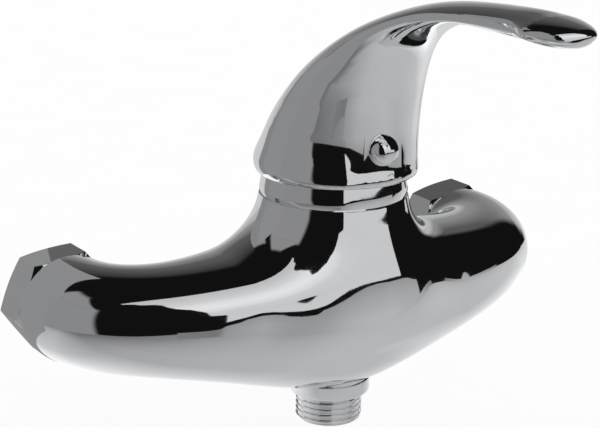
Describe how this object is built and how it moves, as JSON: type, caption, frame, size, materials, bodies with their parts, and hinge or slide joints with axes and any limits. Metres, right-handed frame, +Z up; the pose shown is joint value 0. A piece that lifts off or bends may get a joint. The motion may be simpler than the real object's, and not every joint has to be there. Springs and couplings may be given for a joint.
{
  "type": "wall-mounted shower mixer",
  "caption": "Wall-mounted exposed shower mixer: sweeping cast body between union nuts, single lever on a ceramic disc cartridge, threaded hose outlet below.",
  "frame": {"origin": "midway between the two inlet axes, in the plane of the union nuts' wall ends", "axes": "+X from the hot inlet to the cold inlet, +Y into the wall, +Z up"},
  "size_m": [0.1842, 0.1544, 0.1442],
  "materials": {
    "chrome_plate": "polished chrome plating on cast brass",
    "bare_brass": "turned, unplated",
    "steel": "plain stainless steel",
    "seal_rubber": "matt black sealing rubber",
    "white_plastic": "moulded white acetal",
    "grey_plastic": "moulded grey plastic",
    "ceramic": "lapped alumina ceramic"
  },
  "bodies": {
    "fixed_body": {"mixer_body": "chrome_plate", "hot_inlet_bush": "bare_brass", "cold_inlet_bush": "bare_brass", "hot_sealing_washer": "seal_rubber", "cold_sealing_washer": "seal_rubber", "shower_outlet_nipple": "chrome_plate", "outlet_o_ring": "seal_rubber", "check_valve_housing": "white_plastic", "check_valve_spring": "steel", "cartridge_base": "grey_plastic", "port_seals": "seal_rubber", "fixed_disc": "ceramic", "cartridge_housing": "grey_plastic", "cartridge_nut": "bare_brass", "dome_ring": "chrome_plate"},
    "hot_nut": {"hot_union_nut": "chrome_plate"},
    "cold_nut": {"cold_union_nut": "chrome_plate"},
    "valve_poppet": {"check_valve_poppet": "white_plastic"},
    "turret": {"rotor": "white_plastic", "rotor_o_ring": "seal_rubber", "stem_pivot_pin": "steel"},
    "handle": {"lever_handle": "chrome_plate", "lever_stem": "bare_brass", "handle_set_screw": "steel", "index_button": "chrome_plate"},
    "disc_slide": {"disc_carrier": "grey_plastic", "moving_disc": "ceramic"}
  },
  "joints": [
    {"name": "lever_turn", "type": "hinge", "parent": "fixed_body", "child": "turret", "pos_m": [0, -0.0453, 0.033], "axis": [0, 0, 1], "range_deg": [-45, 45]},
    {"name": "lever_lift", "type": "hinge", "parent": "turret", "child": "handle", "pos_m": [0, -0.0453, 0.033], "axis": [-1, 0, 0], "range_deg": [0, 22]},
    {"name": "disc_travel", "type": "slide", "parent": "turret", "child": "disc_slide", "axis": [0, -1, 0], "range_m": [0, 0.0047]},
    {"name": "hot_nut_turn", "type": "hinge", "parent": "fixed_body", "child": "hot_nut", "pos_m": [-0.075, -0.0065, 0], "axis": [0, 1, 0], "continuous": true},
    {"name": "cold_nut_turn", "type": "hinge", "parent": "fixed_body", "child": "cold_nut", "pos_m": [0.075, -0.0065, 0], "axis": [0, 1, 0], "continuous": true},
    {"name": "check_valve_open", "type": "slide", "parent": "fixed_body", "child": "valve_poppet", "axis": [0, 0, -1], "range_m": [0, 0.0025], "stiffness_N_per_m": 60, "springref_m": -0.001, "deforming": ["check_valve_spring"]}
  ],
  "couplings": [
    {"joint": "disc_travel", "follows": "lever_lift", "m_per_rad": 0.0122}
  ]
}
